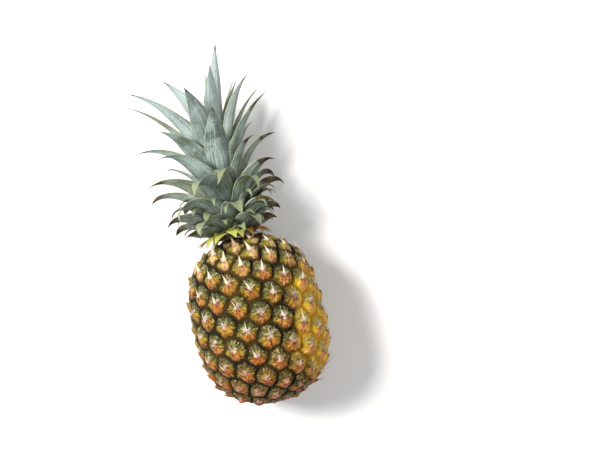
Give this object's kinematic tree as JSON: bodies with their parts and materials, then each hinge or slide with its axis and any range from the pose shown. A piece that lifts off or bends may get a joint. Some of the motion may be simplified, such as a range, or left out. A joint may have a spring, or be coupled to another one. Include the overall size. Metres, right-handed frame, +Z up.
{
  "type": "whole pineapple",
  "caption": "Whole ripe pineapple with its leafy crown, lying on its side; a barrel-shaped fruit covered with spiral eyes, for kitchen and table scenes.",
  "frame": {"origin": "centre of the small flat spot that the fruit rests on, under the middle of the fruit", "axes": "+Y along the fruit from its cut base to the tip of its crown, +Z up, +X to the right as seen from above with the crown away"},
  "size_m": [0.1339, 0.3201, 0.1202],
  "materials": {
    "fruit_skin": "rough, waxy eyes with dry bracts",
    "stem": "matt, fibrous",
    "leaf": "satin, waxy with a pale bloom"
  },
  "bodies": {
    "root": {"fruit": "fruit_skin", "crown_stem": "stem", "leaf_01": "leaf", "leaf_02": "leaf", "leaf_03": "leaf", "leaf_04": "leaf", "leaf_05": "leaf", "leaf_06": "leaf", "leaf_07": "leaf", "leaf_08": "leaf", "leaf_09": "leaf", "leaf_10": "leaf", "leaf_11": "leaf", "leaf_12": "leaf", "leaf_13": "leaf", "leaf_14": "leaf", "leaf_15": "leaf", "leaf_16": "leaf", "leaf_17": "leaf", "leaf_18": "leaf", "leaf_19": "leaf", "leaf_20": "leaf", "leaf_21": "leaf", "leaf_22": "leaf", "leaf_23": "leaf", "leaf_24": "leaf", "leaf_25": "leaf", "leaf_26": "leaf", "leaf_27": "leaf", "leaf_28": "leaf", "leaf_29": "leaf", "leaf_30": "leaf", "leaf_31": "leaf", "leaf_32": "leaf", "leaf_33": "leaf", "leaf_34": "leaf", "leaf_35": "leaf", "leaf_36": "leaf", "leaf_37": "leaf", "leaf_38": "leaf", "leaf_39": "leaf", "leaf_40": "leaf", "leaf_41": "leaf", "leaf_42": "leaf", "leaf_43": "leaf", "leaf_44": "leaf", "leaf_45": "leaf", "leaf_46": "leaf", "leaf_47": "leaf", "leaf_48": "leaf", "leaf_49": "leaf", "leaf_50": "leaf", "leaf_51": "leaf", "leaf_52": "leaf", "leaf_53": "leaf", "leaf_54": "leaf", "leaf_55": "leaf", "leaf_56": "leaf", "leaf_57": "leaf"}
  },
  "joints": []
}
